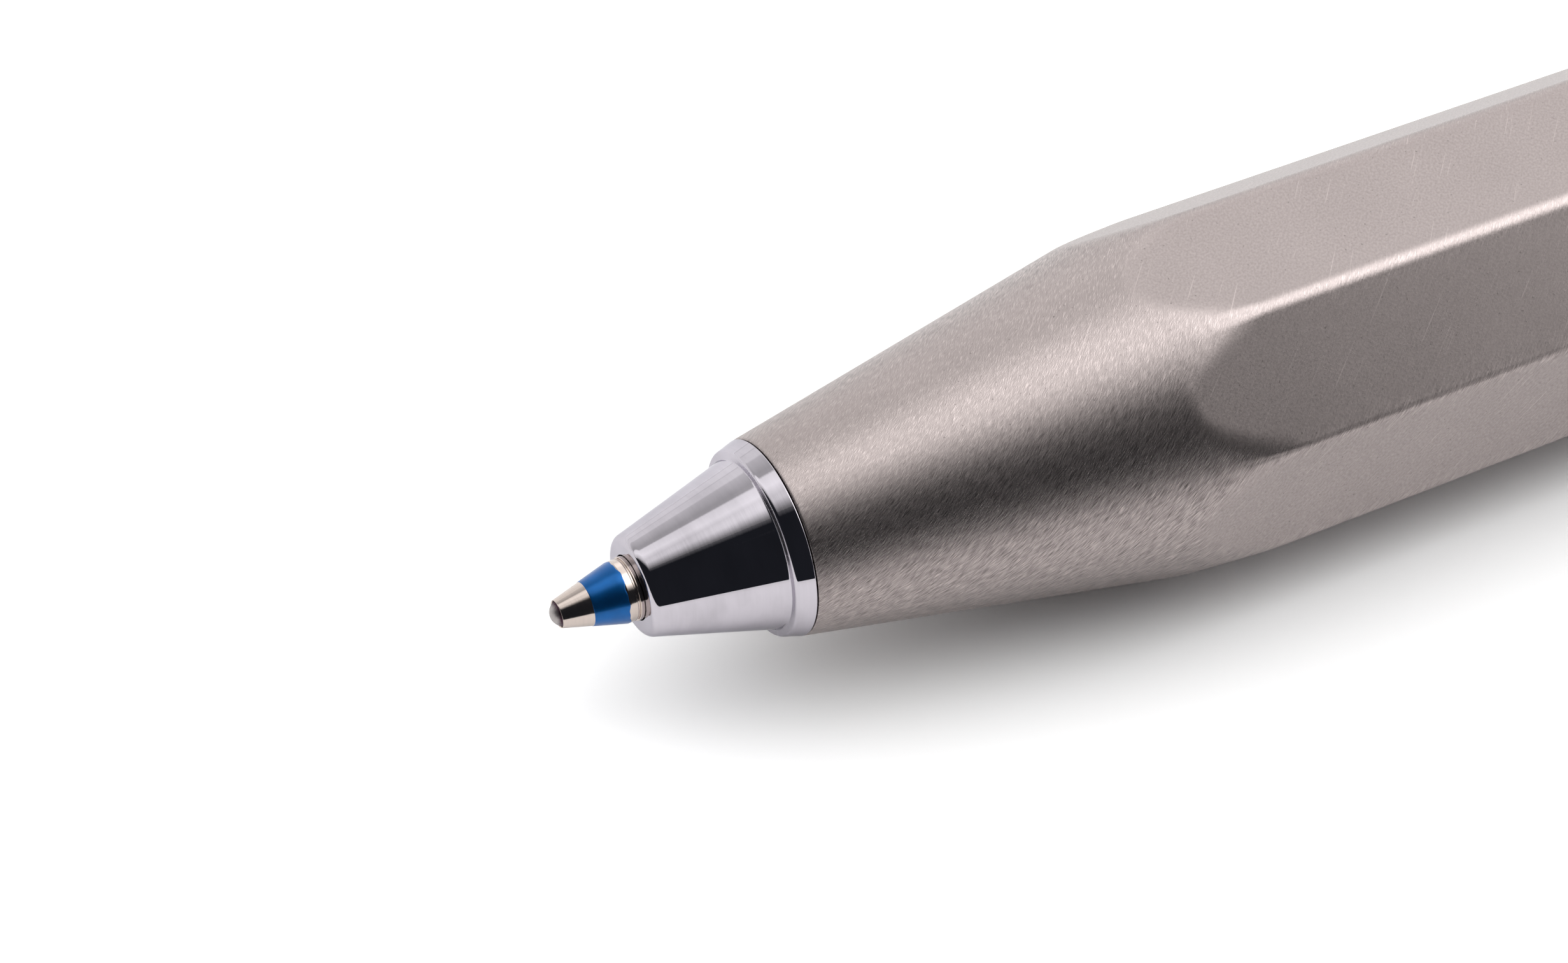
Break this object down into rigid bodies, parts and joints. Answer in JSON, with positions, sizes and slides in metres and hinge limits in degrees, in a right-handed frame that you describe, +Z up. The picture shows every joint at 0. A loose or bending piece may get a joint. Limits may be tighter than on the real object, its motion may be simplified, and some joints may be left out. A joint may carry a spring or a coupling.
{
  "type": "ballpoint pen",
  "caption": "Push-button ballpoint pen: octagonal satin steel barrel, screw-in chrome nose, metal refill with a blue colour band, click mechanism inside.",
  "frame": {"origin": "centre of the pen's length, on the flat that it rests on, with the point out", "axes": "+X along the pen from the point to the button, +Z up, square to the flat that it rests on"},
  "size_m": [0.13, 0.013, 0.013],
  "materials": {
    "satin_steel": "satin, fine cross-scratched grain",
    "mirror_chrome": "polished chrome plate",
    "nickel_silver": "turned and polished nickel silver",
    "carbide": "ground and polished tungsten carbide",
    "spring_steel": "drawn wire",
    "drawn_steel": "bright drawn tube",
    "plated_brass": "brass, chrome plated, polished",
    "blue_ink": "blue ink and blue lacquer",
    "black_rubber": "matte nitrile rubber",
    "white_acetal": "moulded acetal",
    "grey_nylon": "moulded nylon"
  },
  "bodies": {
    "barrel_assembly": {"barrel": "satin_steel", "guide_sleeve": "white_acetal", "mechanism_housing": "plated_brass", "button_bush": "grey_nylon", "return_spring": "spring_steel"},
    "seal_ring": {"nose_seal_ring": "black_rubber"},
    "nose": {"nose_cone": "mirror_chrome"},
    "refill": {"refill_point": "nickel_silver", "refill_neck": "drawn_steel", "refill_tube": "drawn_steel", "refill_ink": "blue_ink", "refill_end_plug": "grey_nylon"},
    "ball": {"refill_ball": "carbide"},
    "rotor": {"cam_rotor": "white_acetal"},
    "button": {"push_button": "mirror_chrome", "thrust_plunger": "white_acetal"}
  },
  "joints": [
    {"name": "refill_slide", "type": "slide", "parent": "barrel_assembly", "child": "refill", "axis": [1, 0, 0], "range_m": [-0.001, 0.0048], "deforming": ["return_spring"]},
    {"name": "button_slide", "type": "slide", "parent": "barrel_assembly", "child": "button", "axis": [1, 0, 0], "range_m": [-0.001, 0.0048]},
    {"name": "rotor_turn", "type": "hinge", "parent": "refill", "child": "rotor", "pos_m": [0.03565, 0, 0.0065], "axis": [1, 0, 0], "continuous": true},
    {"name": "ball_roll", "type": "hinge", "parent": "refill", "child": "ball", "pos_m": [-0.0645, 0, 0.0065], "axis": [0, 1, 0], "continuous": true},
    {"name": "nose_travel", "type": "slide", "parent": "barrel_assembly", "child": "seal_ring", "axis": [-1, 0, 0], "range_m": [0, 0.00525]},
    {"name": "nose_turn", "type": "hinge", "parent": "seal_ring", "child": "nose", "pos_m": [-0.05633, 0, 0.0065], "axis": [-1, 0, 0], "range_deg": [0, 2520]}
  ],
  "couplings": [
    {"joint": "button_slide", "follows": "refill_slide", "ratio": 1},
    {"joint": "nose_turn", "follows": "nose_travel", "rad_per_m": 8377.6}
  ]
}
